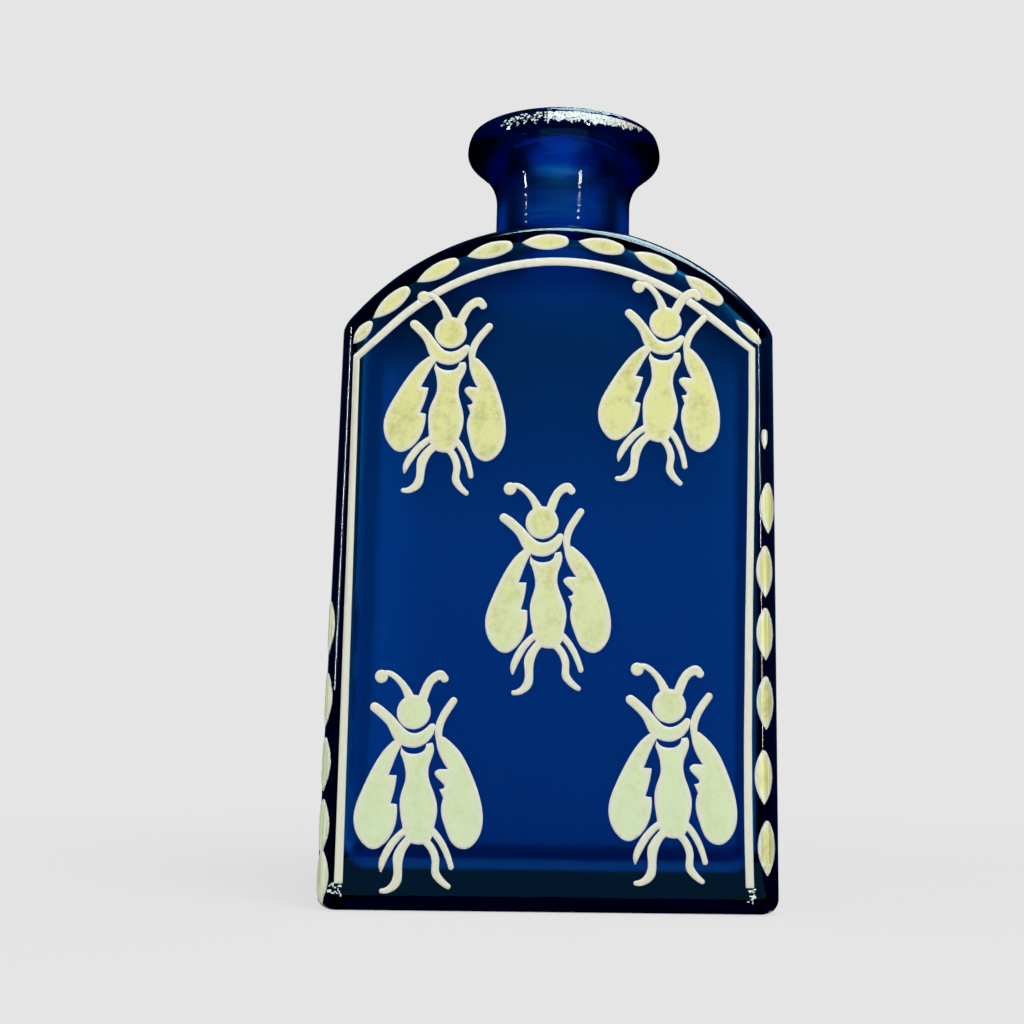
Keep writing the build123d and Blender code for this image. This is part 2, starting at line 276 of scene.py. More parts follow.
crown = glass.data.attributes.new("crown_edge", "FLOAT", "POINT")
moved = 0
for index in inner_wall:
    v = glass.data.vertices[index]
    out = from_arch_centre(v.co)
    along = out.length - (inner_arch_radius - inner_edge_radius)
    if v.co.z > bore_foot or along <= 0 or out.z < 0:
        continue
    crown.data[index].value = min(max((along - edge_shade_from) / edge_shade_over, 0.0), 1.0)
    deep = abs(v.co.y) - (inner_half_depth - inner_edge_radius)
    out_by = drawn_up * min(along / inner_edge_radius, 1.0)
    if deep > 0 and along < inner_edge_radius + edge_margin:
        # The round corner of the hollow becomes a squarer one, a superellipse.
        angle = math.atan2(along, deep)
        fuller = (math.cos(angle) ** squareness + math.sin(angle) ** squareness) ** (-1 / squareness)
        v.co.y *= 1 + deep * (fuller - 1) / abs(v.co.y)
        out_by += along * (fuller - 1)
    way = Vector((0, 0, 1)) if v.co.xy.length < shoulder_end else out.normalized()
    v.co += way * out_by
    moved += 1
print("vertices drawn up", moved)

# %% Shade the glass and hand it to the frame
smooth(glass, degrees=40)
weights = glass.modifiers.new("even shading", "WEIGHTED_NORMAL")
weights.mode = "FACE_AREA"
weights.weight = 100
weights.keep_sharp = True
bpy.ops.object.modifier_apply(modifier=weights.name)

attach(glass, "root")
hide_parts("bottle_body", "lip_collar")
glass_faces = [f.vertices for f in glass.data.polygons]
glass_tree = BVHTree.FromPolygons([v.co for v in glass.data.vertices], glass_faces)
print("glass vertices", len(glass.data.vertices))

# %% [markdown]
# ## Cobalt glass
# The real one is soda-lime glass coloured with cobalt oxide, blown in a mould and fire polished. Glass
# bends light by 1.52, and cobalt swallows red and yellow within a few millimetres while blue gets
# through. A blue tint on the surface would be the same everywhere. Here the colour comes from the depth
# of glass that the light has crossed: thin walls are royal blue, and the corners, the base and the lip,
# where the light crosses a centimetre or more, are nearly black.

# %% Glass that colours by depth
glass_ior = 1.52
absorb_per_mm = (0.62, 0.24, 0.105)

cobalt, tree, shader = new_material("cobalt_glass")
shader.inputs["IOR"].default_value = glass_ior
shader.inputs["Transmission Weight"].default_value = 1.0

# The node takes the density times one less the colour, so red, swallowed most, sets the density.
density = max(absorb_per_mm) / mm
passes = [1 - a / max(absorb_per_mm) for a in absorb_per_mm] + [1]
depth = add_node(tree, "ShaderNodeVolumeAbsorption", {}, {"Color": passes, "Density": density})
tree.links.new(depth.outputs["Volume"], tree.nodes["Material Output"].inputs["Volume"])
print("left of red, green and blue after 4 mm", [round(math.exp(-4 * a), 3) for a in absorb_per_mm])

# %% [markdown]
# ## The film inside, and painted shade
# A bottle that held medicine for years is dulled inside: a faint film on the inner wall hazes the glass.
# The colour of that wall is painted shade, which darkens the broad panel. A second skin inside the bottle
# could carry it, but two surfaces so close make false reflections, so it is a finish of the inner wall
# alone. Its colour is what it leaves of the light that passes the front and the back wall. The painted
# shade changes with the height, is lighter along the two sides of the panel, where a paler tint is
# painted as light, and is darkest in the hollow's upper edge and at the foot of the neck. Above that the
# film dried in streaks, and the upper neck is clear.

# %% Painted shade by height
ramp_height = 160
untinted = linear("FFFFFF")
# Heights in mm of the painted shade: the heel and the mouth, and between them the panel's foot, middle and
# top, the crown, the foot of the neck, and the clear neck's two ends.
heel_height, heel_shade = 10, linear("3C6CB3")
mouth_height, mouth_shade = 154, linear("213073")
shade_between = {
    22: linear("3F6FB6"),
    74: linear("3F79BC"),
    110: linear("3F638B"),
    131: linear("3F739B"),
    140: linear("030730"),
    144: untinted,
    151.5: untinted,
}

place = add_node(tree, "ShaderNodeTexCoord").outputs["Object"]
axes = add_node(tree, "ShaderNodeSeparateXYZ", {}, {"Vector": place})
across, height = axes.outputs["X"], axes.outputs["Z"]
rise = add_node(tree, "ShaderNodeMapRange", {}, {"Value": height, "From Max": ramp_height * mm})
shade_by_height = add_node(tree, "ShaderNodeValToRGB", {}, {"Fac": rise.outputs["Result"]})
stops = shade_by_height.color_ramp.elements
stops[0].position, stops[0].color = heel_height / ramp_height, heel_shade
stops[1].position, stops[1].color = mouth_height / ramp_height, mouth_shade
for stop_height, stop_colour in shade_between.items():
    stops.new(stop_height / ramp_height).color = stop_colour
print("film colours", len(stops))

# %% Painted light along the panel's sides
# The painted shade is lighter along the sides, where a paler tint is painted as light. Along the left side
# only the paler tint is left, and along the right about a third of the shade stays.
left_thin, left_full = -38.5 * mm, -32 * mm
right_full, right_thin = 34 * mm, 38.5 * mm
least_right = 0.35
side_light = linear("59BCFF")
# A darker tint, painted as shade in the hollow's upper edge.
edge_shade = linear("103069")

left_share = add_node(
    tree, "ShaderNodeMapRange", {}, {"Value": across, "From Min": left_thin, "From Max": left_full}
)
right_share = add_node(
    tree, "ShaderNodeMapRange", {},
    {"Value": across, "From Min": right_full, "From Max": right_thin, "To Min": 1.0, "To Max": least_right},
)
full_share = add_node(
    tree, "ShaderNodeMath", {"operation": "MULTIPLY"},
    {0: left_share.outputs["Result"], 1: right_share.outputs["Result"]},
)
painted_shade = add_node(
    tree, "ShaderNodeMix", {"data_type": "RGBA"},
    {"Factor": full_share.outputs["Value"], "A": side_light, "B": shade_by_height.outputs["Color"]},
)
# The hollow's upper edge gets the darkest painted shade.
crown_share = add_node(tree, "ShaderNodeAttribute", {"attribute_name": "crown_edge"}).outputs["Fac"]
edged = add_node(
    tree, "ShaderNodeMix", {"data_type": "RGBA"},
    {"Factor": crown_share, "A": painted_shade.outputs["Result"], "B": edge_shade},
)

print("film across", round(left_thin / mm, 1), "to", round(right_thin / mm, 1), "mm")

# %% The film in the neck
# The streaks are about 2.4 mm high, three times as wide, and lie above the shoulder only.
streak_height = 2.4 * mm
neck_from, neck_full = 137 * mm, 142 * mm
film_streak = linear("193FAA")

on_neck = add_node(
    tree, "ShaderNodeMapRange", {},
    {"Value": height, "From Min": neck_from, "From Max": neck_full, "To Max": 0.9},
)
widened = add_node(tree, "ShaderNodeMapping", {}, {"Vector": place, "Scale": (0.3, 0.3, 1.0)})
streaks = add_node(
    tree, "ShaderNodeTexNoise", {},
    {"Vector": widened.outputs["Vector"], "Scale": 1 / streak_height, "Detail": 4},
)
dried = add_node(
    tree, "ShaderNodeMapRange", {},
    {"Value": streaks.outputs["Fac"], "From Min": 0.42, "From Max": 0.62, "To Max": 0.6},
)
streak_share = add_node(
    tree, "ShaderNodeMath", {"operation": "MULTIPLY"},
    {0: on_neck.outputs["Result"], 1: dried.outputs["Result"]},
)
streaked = add_node(
    tree, "ShaderNodeMix", {"data_type": "RGBA"},
    {"Factor": streak_share.outputs["Value"], "A": edged.outputs["Result"], "B": film_streak},
)

print("streaks above", round(neck_from / mm), "mm")

# %% Lay the painted shade and the haze on the inner wall
polished, hazed = 0.02, 0.34
inner_share = add_node(tree, "ShaderNodeAttribute", {"attribute_name": "inner_wall"}).outputs["Fac"]
tint = add_node(
    tree, "ShaderNodeMix", {"data_type": "RGBA"},
    {"Factor": inner_share, "A": untinted, "B": streaked.outputs["Result"]},
)
tree.links.new(tint.outputs["Result"], shader.inputs["Base Color"])
roughness = add_node(
    tree, "ShaderNodeMapRange", {}, {"Value": inner_share, "To Min": polished, "To Max": hazed}
)
tree.links.new(roughness.outputs["Result"], shader.inputs["Roughness"])
print("roughness", polished, "outside and", hazed, "inside")

# %% [markdown]
# ## Marks of the mould and the tool
# The mould left slow waves about 9 mm long all over the glass. The lipping tool, turned in the hot neck,
# left fine rings about 0.8 mm apart there. Both are a few hundredths of a millimetre deep, too shallow
# for the mesh, so the material's bump bends the light instead.

# %% Waves and rings
wave_length, wave_depth = 9 * mm, 0.05 * mm
ring_spacing, ring_depth = 0.8 * mm, 0.08 * mm

waves = add_node(tree, "ShaderNodeTexNoise", {}, {"Vector": place, "Scale": 1 / wave_length, "Detail": 1.5})
swell = add_node(
    tree, "ShaderNodeBump", {},
    {"Height": waves.outputs["Fac"], "Distance": wave_depth, "Strength": 0.35},
)
ringed = add_node(tree, "ShaderNodeMapping", {}, {"Vector": place, "Scale": (0.07, 0.07, 1.0)})
rings = add_node(
    tree, "ShaderNodeTexNoise", {},
    {"Vector": ringed.outputs["Vector"], "Scale": 1 / ring_spacing, "Detail": 2},
)
tooled = add_node(
    tree, "ShaderNodeBump", {},
    {"Height": rings.outputs["Fac"], "Distance": ring_depth, "Strength": on_neck.outputs["Result"],
     "Normal": swell.outputs["Normal"]},
)
tree.links.new(tooled.outputs["Normal"], shader.inputs["Normal"])
glass.data.materials.append(cobalt)
print(cobalt.name, "nodes", len(tree.nodes))

# %% [markdown]
# ## Wear, and a painted highlight on the lip
# Years of drawing the cork bruised the front of the lip to a white, splintery band with a torn lower
# edge. The band is partly a painted highlight: its smooth upper part stands for light reflected on the
# lip's roll, and its torn foot is the bruise. Below the feet of the enamel line the glass is flaked too.
# Each worn spot is a skin as thin as a hair on the glass: a cut from the glass's own surface, gridded,
# torn by noise and given a thickness.

# %% Cut a skin from the glass
skin_thickness = 0.03 * mm


def outer_skin(name, wanted, low, high, spacing, kept):
    """A thin skin on the glass: its wanted faces between two corners, in cells of which some are kept."""
    skin = bpy.data.objects.new(name, glass.data.copy())
    bpy.context.collection.objects.link(skin)
    skin.data.materials.clear()
    edit(skin, "polygons", lambda face: not wanted(face.center))
    bpy.ops.mesh.delete(type="FACE")
    for axis in (0, 2):
        direction = Vector([float(k == axis) for k in range(3)])
        bpy.ops.mesh.select_all(action="SELECT")
        bpy.ops.mesh.bisect(plane_co=low, plane_no=direction, clear_inner=True)
        bpy.ops.mesh.select_all(action="SELECT")
        bpy.ops.mesh.bisect(plane_co=high, plane_no=direction, clear_outer=True)
        for i in range(1, int((high[axis] - low[axis]) / spacing)):
            bpy.ops.mesh.select_all(action="SELECT")
            bpy.ops.mesh.bisect(plane_co=low + direction * i * spacing, plane_no=direction)
    edit(skin, "polygons", lambda face: not kept(face.center / mm))
    bpy.ops.mesh.delete(type="FACE")
    bpy.ops.mesh.select_all(action="SELECT")
    bpy.ops.transform.shrink_fatten(value=skin_thickness / 2)
    alone(skin)
    wall = skin.modifiers.new("thickness", "SOLIDIFY")
    wall.thickness = skin_thickness
    wall.offset = 1.0
    bpy.ops.object.modifier_apply(modifier=wall.name)
    smooth(skin, degrees=60)
    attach(skin, "root")
    print(name, "faces", len(skin.data.polygons))
    return skin


# %% Bruise the lip and paint its highlight
# The band's ends, foot and top in mm, and the two waves that tear its foot: how deep, and how many a mm.
band_left, band_right = -13, 17
band_foot, band_top = 159.1, 161.1
long_tear, long_waves = 1.1, 0.8
short_tear, short_waves = 0.7, 2.6
# To the right of 11 mm the foot rises, and to the left of -9 mm the top sinks, by so much for each mm.
foot_rises_from, foot_slope = 11, 0.22
top_sinks_from, top_slope = -9, 0.1
# A cell stays where a finer noise is above a level, high on the left and low on the right, so that the
# left has only splinters and the rest is nearly whole.
waves_across, waves_up = 2.2, 2.6
whole_from = -3
level_left, level_right = 0.12, -0.45
lip_low, lip_high = Vector((-14, 0, 157)) * mm, Vector((18, 0, 161.5)) * mm
lip_foot, flare_radius = 150 * mm, 17 * mm
lip_cell = 0.22 * mm


def on_lip_front(point):
    """Whether a place is on the front of the lip's outer surface."""
    return point.z > lip_foot and point.xy.length > flare_radius and point.y < 0


def bruise_and_highlight_band(point):
    """The torn band of bruise and painted highlight: whole in the middle, only splinters to the left, and a
    thin end to the right.
    """
    across, height = point.x, point.z
    tear = long_tear * noise.noise((long_waves * across, 3, 0))
    tear += short_tear * noise.noise((short_waves * across, 7, 0))
    lower = band_foot + tear + max(across - foot_rises_from, 0) * foot_slope
    upper = band_top - max(top_sinks_from - across, 0) * top_slope
    splinter = noise.noise((waves_across * across, 0, waves_up * height))
    least = level_left if across < whole_from else level_right
    return band_left < across < band_right and lower < height < upper and splinter > least


lip_bruise_and_highlight = outer_skin("lip_bruise_and_highlight", on_lip_front, lip_low, lip_high, lip_cell, bruise_and_highlight_band)

# %% Flake the glass below the line's feet
# A flake's radius in mm, how far noise throws its edge out or in, and how many waves a mm that noise has.
flake_radius, ragged, edge_waves = 1.2, 0.9, 1.7
# A cell stays where a finer noise is above this level, so that the flake has holes.
hole_waves, flake_level = 2.3, 0.08
flake_reach = Vector((2.6, 0, 2.6)) * mm
flake_cell = 0.25 * mm
front, front_from, front_top = -22 * mm, -20 * mm, 130 * mm
line_low, line_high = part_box("border_line")
foot_height = line_low.z - 1.3 * mm
feet = {"left": line_low.x + 1.0 * mm, "right": line_high.x - 1.6 * mm}


def on_front(point):
    """Whether a place is on the flat front of the body."""
    return point.y < front_from and point.z < front_top


foot_flakes = []
for side, foot_x in feet.items():
    foot = Vector((foot_x, front, foot_height))

    def flaked(point, middle=foot / mm):
        """The ragged round spot at one foot, with holes in it."""
        edge = flake_radius + ragged * noise.noise(point * edge_waves)
        return (point - middle).length < edge and noise.noise(point * hole_waves) > flake_level

    low, high = foot - flake_reach, foot + flake_reach
    foot_flakes.append(outer_skin(f"{side}_foot_flake", on_front, low, high, flake_cell, flaked))

# %% [markdown]
# ## Bruised glass with a painted highlight
# The real one is the same soda-lime glass, crushed to fine splinters by knocks. Splinters scatter the
# light from many small faces, so the eye sees a matt, uneven white. On the lip that white is also a
# painted highlight, and the tan on the right of the lip is a painted reflection. One noise gives both
# the shade and the bump, so that what stands out is also paler.

# %% Bruised glass, with a painted highlight and reflection
splinter_length, facet_depth = 0.5 * mm, 0.1 * mm
# The white is bruise, and on the lip also a painted highlight; the tan is a painted reflection.
white_and_highlight, tan_reflection = linear("E4F2EE"), linear("B59C7C")
tan_from, tan_full = 9 * mm, 17 * mm

bruise_and_highlight, tree, shader = new_material("bruised_glass_and_highlight")
shader.inputs["IOR"].default_value = glass_ior
shader.inputs["Roughness"].default_value = 0.45
place = add_node(tree, "ShaderNodeTexCoord").outputs["Object"]
axes = add_node(tree, "ShaderNodeSeparateXYZ", {}, {"Vector": place})
across, height = axes.outputs["X"], axes.outputs["Z"]
# The tan painted reflection grows towards the right of the lip.
reflected_tan = add_node(
    tree, "ShaderNodeMapRange", {},
    {"Value": across, "From Min": tan_from, "From Max": tan_full, "To Max": 0.8},
)
# The flakes, below 100 mm, stay white.
on_lip = add_node(
    tree, "ShaderNodeMapRange", {}, {"Value": height, "From Min": 100 * mm, "From Max": 120 * mm}
)
tan_share = add_node(
    tree, "ShaderNodeMath", {"operation": "MULTIPLY"},
    {0: reflected_tan.outputs["Result"], 1: on_lip.outputs["Result"]},
)
white_and_tan = add_node(
    tree, "ShaderNodeMix", {"data_type": "RGBA"},
    {"Factor": tan_share.outputs["Value"], "A": white_and_highlight, "B": tan_reflection},
)
splinters = add_node(
    tree, "ShaderNodeTexNoise", {}, {"Vector": place, "Scale": 1 / splinter_length, "Detail": 3}
)
pale = add_node(
    tree, "ShaderNodeMapRange", {},
    {"Value": splinters.outputs["Fac"], "From Min": 0.35, "From Max": 0.55, "To Min": 0.45},
)
colour = add_node(
    tree, "ShaderNodeMix", {"data_type": "RGBA", "blend_type": "MULTIPLY"},
    {"Factor": 1.0, "A": white_and_tan.outputs["Result"], "B": pale.outputs["Result"]},
)
tree.links.new(colour.outputs["Result"], shader.inputs["Base Color"])
facets = add_node(
    tree, "ShaderNodeBump", {},
    {"Height": splinters.outputs["Fac"], "Distance": facet_depth, "Strength": 0.6},
)
tree.links.new(facets.outputs["Normal"], shader.inputs["Normal"])
for piece in (lip_bruise_and_highlight, *foot_flakes):
    piece.data.materials.append(bruise_and_highlight)
print(bruise_and_highlight.name, "nodes", len(tree.nodes))

# %% [markdown]
# ## Enamel with thickness
# Enamel is glass ground to a paste, painted on and fired, so each patch stands a quarter of a millimetre
# proud and its edge is drawn round by the melt. The CAD patches are flat with square edges. A copy is
# cut across by many planes, which gives it a fine grid of vertices, and each vertex of its outer skin
# then sinks towards the glass by how near it is to the patch's outline. The same distance is kept as an
# attribute, because the paste was thicker and whiter along the outline.

# %% Grid a patch and round its edge
enamel_thickness = 0.25 * mm
sunk = 0.02 * mm
rounding = 0.32 * mm
rim_start, rim_end = 0.30 * mm, 1.15 * mm
flat_within = math.radians(0.6)
fine_grid, plain_grid = 0.4 * mm, 0.6 * mm


def grid(piece, node, spacing):
    """Cut a piece by upright and level planes, this far apart."""
    low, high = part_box(node)
    edit(piece, "polygons", lambda face: True)
    bpy.ops.mesh.select_all(action="SELECT")
    bpy.ops.mesh.dissolve_limited(angle_limit=flat_within)
    for axis, direction in ((0, (1, 0, 0)), (2, (0, 0, 1))):
        count = int((high[axis] - low[axis]) / spacing)
        start = (low[axis] + high[axis] - count * spacing) / 2
        for i in range(count + 1):
            point = [0, 0, 0]
            point[axis] = start + i * spacing
            bpy.ops.mesh.select_all(action="SELECT")
            bpy.ops.mesh.bisect(plane_co=point, plane_no=direction)
    alone(piece)


def round_edge(piece):
    """Sink the outer skin near the outline, fuse the inner skin to the glass, and keep the distance."""
    mesh = piece.data
    hits = [glass_tree.find_nearest(v.co) for v in mesh.vertices]
    outer = [hit[3] > enamel_thickness / 2 for hit in hits]
    outline = {a if outer[a] else b for a, b in (e.vertices for e in mesh.edges) if outer[a] != outer[b]}
    tree = KDTree(len(outline))
    for i in outline:
        tree.insert(mesh.vertices[i].co, i)
    tree.balance()
    rim = mesh.attributes.new("rim", "FLOAT", "POINT")
    for v, hit, is_outer in zip(mesh.vertices, hits, outer):
        away = tree.find(v.co)[2]
        share = min(max((away - rim_start) / (rim_end - rim_start), 0.0), 1.0)
        rim.data[v.index].value = 1 - share * share * (3 - 2 * share)
        if is_outer:
            full = min(away / rounding, 1.0)
            height = enamel_thickness * (0.5 + 0.5 * math.sqrt(1 - (1 - full) ** 2))
            v.co = hit[0] + (v.co - hit[0]).normalized() * height
        else:
            v.co = hit[0] - hit[1] * sunk


def enamel_patch(node, spacing):
    """The enamel of one CAD node as a piece of its own."""
    piece = copy_of(node, node + "_enamel")
    grid(piece, node, spacing)
    round_edge(piece)
    smooth(piece, degrees=60)
    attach(piece, "root")
    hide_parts(node)
    return piece


# %% [markdown]
# ## Five bees from one
# The painter used the same stencil five times, so the middle bee's four patches are made once and
# copied. Each CAD bee tells where its copy goes: the line from the trunk's middle to the head's middle
# gives the place and the lean.

# %% Make the bees
bee_parts = ("head", "left_wing", "right_wing", "trunk")
copied_bees = ("top_left", "top_right", "bottom_left", "bottom_right")


def middle_of(node):
    """The centre of a CAD node's surface, weighted by its triangles' areas."""
    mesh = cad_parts[node].data
    total = sum(f.area for f in mesh.polygons)
    return sum((f.center * f.area for f in mesh.polygons), Vector()) / total


def bee_axis(place):
    """The middle of a bee's trunk, and the angle of the line from there to its head."""
    trunk = middle_of(f"bee_{place}_trunk")
    head = middle_of(f"bee_{place}_head")
    return trunk, math.atan2(head.x - trunk.x, head.z - trunk.z)


enamels = [enamel_patch(f"bee_middle_{part}", fine_grid) for part in bee_parts]
patterns = dict(zip(bee_parts, enamels))
first_trunk, first_lean = bee_axis("middle")
for place_name in copied_bees:
    trunk, lean = bee_axis(place_name)
    turn = Matrix.Rotation(lean - first_lean, 4, "Y")
    move = Matrix.Translation(trunk) @ turn @ Matrix.Translation(-first_trunk)
    for part in bee_parts:
        node = f"bee_{place_name}_{part}"
        mesh = patterns[part].data.copy()
        mesh.transform(move)
        piece = bpy.data.objects.new(node + "_enamel", mesh)
        bpy.context.collection.objects.link(piece)
        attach(piece, "root")
        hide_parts(node)
        enamels.append(piece)
    print(place_name, "leans", round(math.degrees(lean - first_lean), 2), "degrees more than the middle bee")
print("vertices in one bee", sum(len(p.data.vertices) for p in patterns.values()))

# %% [markdown]
# ## Beads and border
# The leaf-shaped beads follow the arch and wrap over the two front corners, and a plain line frames the
# front. They get the same fine grid and the same rounded edge. The line was drawn in one thickness of
# paste, so it is as white in its middle as at its edge.

# %% Make the beads and the line
bead_nodes = ("arch_beads", "left_edge_beads", "right_edge_beads")
enamels += [enamel_patch(node, fine_grid) for node in bead_nodes]
line = enamel_patch("border_line", plain_grid)
for value in line.data.attributes["rim"].data:
    value.value = 1.0
enamels.append(line)
print("enamel pieces", len(enamels), "vertices", sum(len(p.data.vertices) for p in enamels))

# %% [markdown]
# ## Fired enamel
# The real one is opaque glass enamel. Firing left it satin with a fine grain, off-white where it is
# thick along the outline, and a pale yellow green inside, where it is thin. The upper bees and the beads
# on the right corner are made yellower, with more of the stain on them, and the lower bees stay greener.
# The colour is built up as the years did it: the fired paste first, the stains over it, and the white rim
# last, because it is too thick for a stain to show.

# %% Paste and stains
paste_green, paste_yellow = linear("D2E2B7"), linear("DBDA90")
stain_olive, rim_white = linear("B7B86E"), linear("DBDCCA")
green_below, yellow_above = 20 * mm, 110 * mm
corner_from, corner_full = 39 * mm, 41 * mm
stain_cloud = 4 * mm

fired, tree, shader = new_material("fired_enamel")
shader.inputs["IOR"].default_value = 1.5
place = add_node(tree, "ShaderNodeTexCoord").outputs["Object"]
axes = add_node(tree, "ShaderNodeSeparateXYZ", {}, {"Vector": place})
across, height = axes.outputs["X"], axes.outputs["Z"]
rise = add_node(
    tree, "ShaderNodeMapRange", {}, {"Value": height, "From Min": green_below, "From Max": yellow_above}
)
right_corner_share = add_node(
    tree, "ShaderNodeMapRange", {}, {"Value": across, "From Min": corner_from, "From Max": corner_full}
)
yellowed = add_node(
    tree, "ShaderNodeMath", {"operation": "MAXIMUM"},
    {0: rise.outputs["Result"], 1: right_corner_share.outputs["Result"]},
)
fill = add_node(
    tree, "ShaderNodeMix", {"data_type": "RGBA"},
    {"Factor": yellowed.outputs["Value"], "A": paste_green, "B": paste_yellow},
)
# Stains gather in clouds of about 4 mm, broken up into spots, and they are faint where it is still green.
blotch = add_node(
    tree, "ShaderNodeTexNoise", {},
    {"Vector": place, "Scale": 1 / stain_cloud, "Detail": 6, "Roughness": 0.78},
)
stain = add_node(
    tree, "ShaderNodeMapRange", {},
    {"Value": blotch.outputs["Fac"], "From Min": 0.48, "From Max": 0.66, "To Max": 0.9},
)
reached = add_node(tree, "ShaderNodeMapRange", {}, {"Value": yellowed.outputs["Value"], "To Min": 0.25})
stain_share = add_node(
    tree, "ShaderNodeMath", {"operation": "MULTIPLY"},
    {0: stain.outputs["Result"], 1: reached.outputs["Result"]},
)
stained = add_node(
    tree, "ShaderNodeMix", {"data_type": "RGBA"},
    {"Factor": stain_share.outputs["Value"], "A": fill.outputs["Result"], "B": stain_olive},
)
rim = add_node(tree, "ShaderNodeAttribute", {"attribute_name": "rim"})
paste = add_node(
    tree, "ShaderNodeMix", {"data_type": "RGBA"},
    {"Factor": rim.outputs["Fac"], "A": stained.outputs["Result"], "B": rim_white},
)

print("enamel yellows between", round(green_below / mm), "and", round(yellow_above / mm), "mm")

# %% Grain
# The grain of the ground glass, drawn at 0.35 mm so that it shows.
grain_size, pit_depth = 0.35 * mm, 0.02 * mm
smoothest, roughest = 0.38, 0.60

grain = add_node(tree, "ShaderNodeTexNoise", {}, {"Vector": place, "Scale": 1 / grain_size, "Detail": 2})
speckle = add_node(
    tree, "ShaderNodeMapRange", {},
    {"Value": grain.outputs["Fac"], "From Min": 0.3, "From Max": 0.7, "To Min": 0.93},
)
colour = add_node(
    tree, "ShaderNodeMix", {"data_type": "RGBA", "blend_type": "MULTIPLY"},
    {"Factor": 1.0, "A": paste.outputs["Result"], "B": speckle.outputs["Result"]},
)
tree.links.new(colour.outputs["Result"], shader.inputs["Base Color"])
satin = add_node(
    tree, "ShaderNodeMapRange", {},
    {"Value": grain.outputs["Fac"], "To Min": smoothest, "To Max": roughest},
)
tree.links.new(satin.outputs["Result"], shader.inputs["Roughness"])
pits = add_node(
    tree, "ShaderNodeBump", {}, {"Height": grain.outputs["Fac"], "Distance": pit_depth, "Strength": 0.4}
)
tree.links.new(pits.outputs["Normal"], shader.inputs["Normal"])
for piece in enamels:
    piece.data.materials.append(fired)
print(fired.name, "nodes", len(tree.nodes))

# %% [markdown]
# ## The studio
# The floor and the world are one pale grey, so the bottle stands free. Both take their colour from being
# looked at, directly, through the glass or in a reflection, and light the bottle at a plain level. Near
# the bottle the floor is partly matt paper, so it keeps a soft shadow.

# %% The pale world
backdrop = linear("E5E5E5")
fill_light = 0.45

world = bpy.data.worlds.new("pale_world")
bpy.context.scene.world = world
world.use_nodes = True
tree = world.node_tree


def looked_at(tree):
    """1 for rays from the camera, through glass or off a gloss, and 0 for the light on things."""
    rays = add_node(tree, "ShaderNodeLightPath").outputs
    direct = add_node(
        tree, "ShaderNodeMath", {"operation": "MAXIMUM"},
        {0: rays["Is Camera Ray"], 1: rays["Is Transmission Ray"]},
    )
    either = add_node(
        tree, "ShaderNodeMath", {"operation": "MAXIMUM"},
        {0: direct.outputs["Value"], 1: rays["Is Glossy Ray"]},
    )
    return either.outputs["Value"]


strength = add_node(
    tree, "ShaderNodeMapRange", {}, {"Value": looked_at(tree), "To Min": fill_light, "To Max": 1.0}
)
tree.nodes["Background"].inputs["Color"].default_value = backdrop
tree.links.new(strength.outputs["Result"], tree.nodes["Background"].inputs["Strength"])
print("the world lights the bottle at", fill_light)

# %% The floor
# At the bottle the paper glows by itself to this share, and the rest is lit, so it takes a shadow. Out
# to the second distance in metres the glow grows to all of it.
glow_near = 0.84
glow_from, glow_to = 0.06, 0.35

bpy.ops.object.select_all(action="DESELECT")
bpy.ops.mesh.primitive_plane_add(size=8)
floor = bpy.context.object
floor.name = "floor"
paper, tree, shader = new_material("pale_paper")
shader.inputs["Base Color"].default_value = backdrop
shader.inputs["Roughness"].default_value = 1.0
shader.inputs["Specular IOR Level"].default_value = 0.0
place = add_node(tree, "ShaderNodeTexCoord").outputs["Object"]
reach = add_node(tree, "ShaderNodeVectorMath", {"operation": "LENGTH"}, {0: place})
lit = add_node(
    tree, "ShaderNodeMapRange", {"interpolation_type": "SMOOTHSTEP"},
    {"Value": reach.outputs["Value"], "From Min": glow_from, "From Max": glow_to, "To Min": glow_near},
)
share = add_node(
    tree, "ShaderNodeMath", {"operation": "MULTIPLY"}, {0: looked_at(tree), 1: lit.outputs["Result"]}
)
glow = add_node(tree, "ShaderNodeEmission", {}, {"Color": backdrop})
mixed = add_node(
    tree, "ShaderNodeMixShader", {},
    {0: share.outputs["Value"], 1: shader.outputs["BSDF"], 2: glow.outputs["Emission"]},
)
tree.links.new(mixed.outputs["Shader"], tree.nodes["Material Output"].inputs["Surface"])
floor.data.materials.append(paper)
print(paper.name, "nodes", len(tree.nodes))

# %% [markdown]
# ## Cards
# A photographer sets black cards round a dark glass, because glass mirrors what stands about it, and a
# pale room would wash it out. The first set stands all round the bottle and on the floor and is seen only
# by reflections. The second is seen only by light that comes through the glass: cards beside and behind
# the bottle darken its edges, and one over the crown and one beside the left shoulder keep light from
# above out of them. Four more are coloured gels that glow by themselves, as lights that the camera does
# not see: a blue one high up behind the bottle, a pale one behind the neck, another over the mouth, and a
# teal one on the floor in front, whose reflection lies in the foot of the glass. The neck's glow, the blue
# of the panel's top and the teal at the foot come partly from them.

# %% Velvet and gels
velvet, tree, shader = new_material("black_velvet")
shader.inputs["Base Color"].default_value = linear("000000")
shader.inputs["Specular IOR Level"].default_value = 0.0


def glow_paper(name, hex_value, strength=1.0):
    """Paper that glows by itself in one colour, a coloured light hidden from the camera."""
    paper, tree, shader = new_material(name)
    shader.inputs["Base Color"].default_value = linear("000000")
    shader.inputs["Specular IOR Level"].default_value = 0.0
    shader.inputs["Emission Color"].default_value = linear(hex_value)
    shader.inputs["Emission Strength"].default_value = strength
    return paper


